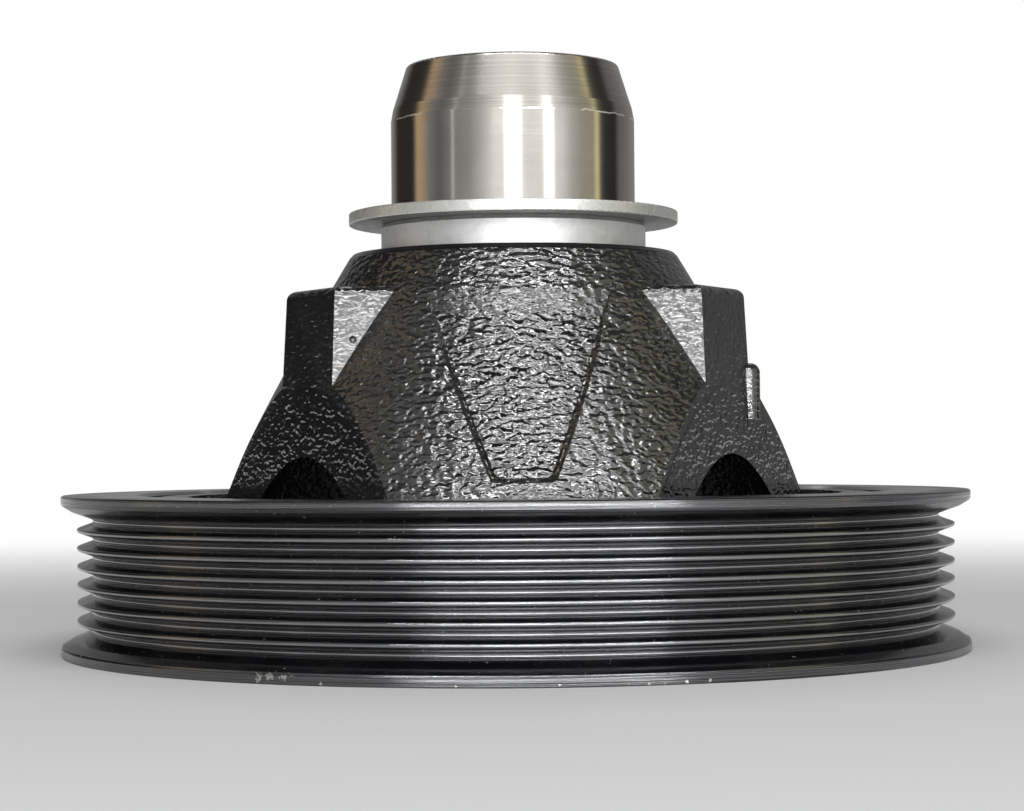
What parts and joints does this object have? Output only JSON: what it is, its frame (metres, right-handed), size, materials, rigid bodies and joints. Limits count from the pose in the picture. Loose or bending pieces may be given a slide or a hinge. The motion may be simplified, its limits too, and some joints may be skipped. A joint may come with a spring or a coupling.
{
  "type": "harmonic balancer",
  "caption": "Crankshaft balancer: a cast cone hub on three flat-faced legs, with a polished seal nose, dust slinger and rubber-mounted grooved belt ring.",
  "frame": {"origin": "centre of the pulley ring's front face, on the crankshaft axis", "axes": "+Z along the crankshaft axis from the front face towards the nose, which faces the engine; +Y towards the middle of one leg"},
  "size_m": [0.181, 0.181, 0.1171],
  "materials": {
    "coated_casting": "black coat over a coarse sand-cast surface",
    "ground_steel": "bare steel, ground nose and turned shoulder",
    "galvanised_steel": "zinc coated, mottled",
    "rubber": "matt black elastomer",
    "black_paint": "smooth semi-gloss black over turned iron"
  },
  "bodies": {
    "root": {"hub_casting": "coated_casting", "nose_sleeve": "ground_steel", "dust_slinger": "galvanised_steel", "damper_rubber": "rubber", "pulley_ring": "black_paint"}
  },
  "joints": []
}
